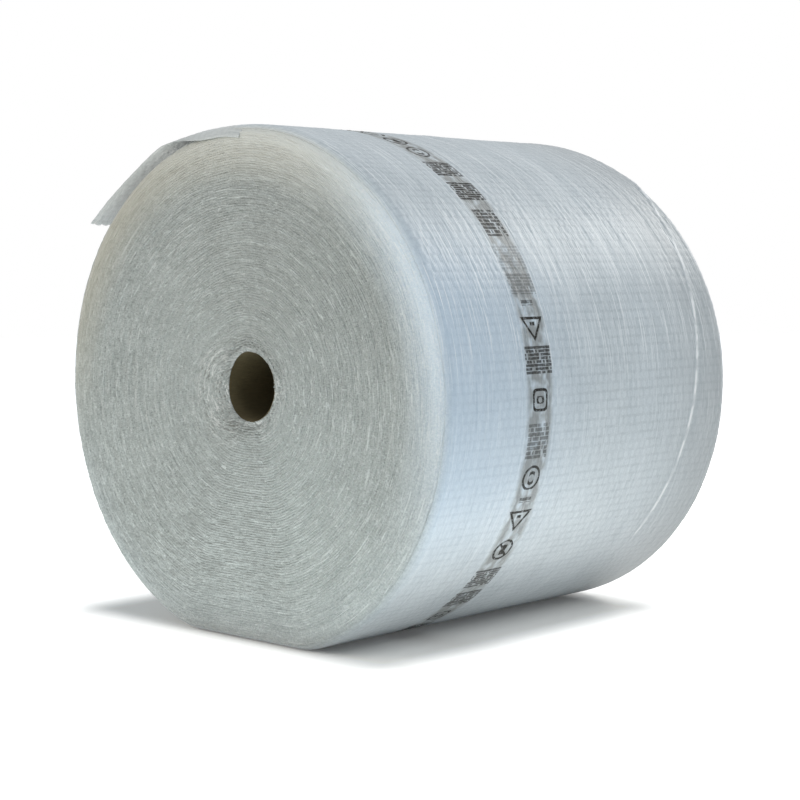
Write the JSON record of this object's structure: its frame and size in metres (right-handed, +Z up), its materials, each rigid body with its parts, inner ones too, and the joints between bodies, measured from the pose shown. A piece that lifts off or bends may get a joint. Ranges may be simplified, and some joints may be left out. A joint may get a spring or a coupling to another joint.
{
  "type": "bubble wrap roll",
  "caption": "Large soft roll of clear bubble film wound on a cardboard core, lying on its side with a small flat spot and a loose outer end.",
  "frame": {"origin": "on the floor, under the middle of the roll's flat spot", "axes": "+Z up, Y along the roll's axis with the end that shows the loose end on the left at -Y, +X to that end's right"},
  "size_m": [0.61, 0.5, 0.5656],
  "materials": {
    "bubble_film": "translucent clear polyethylene film with small air bubbles, milky white in depth",
    "cardboard": "plain brown spiral-wound board, matt and fibrous"
  },
  "bodies": {
    "root": {"core_tube": "cardboard", "bubble_wrap": "bubble_film"}
  },
  "joints": []
}
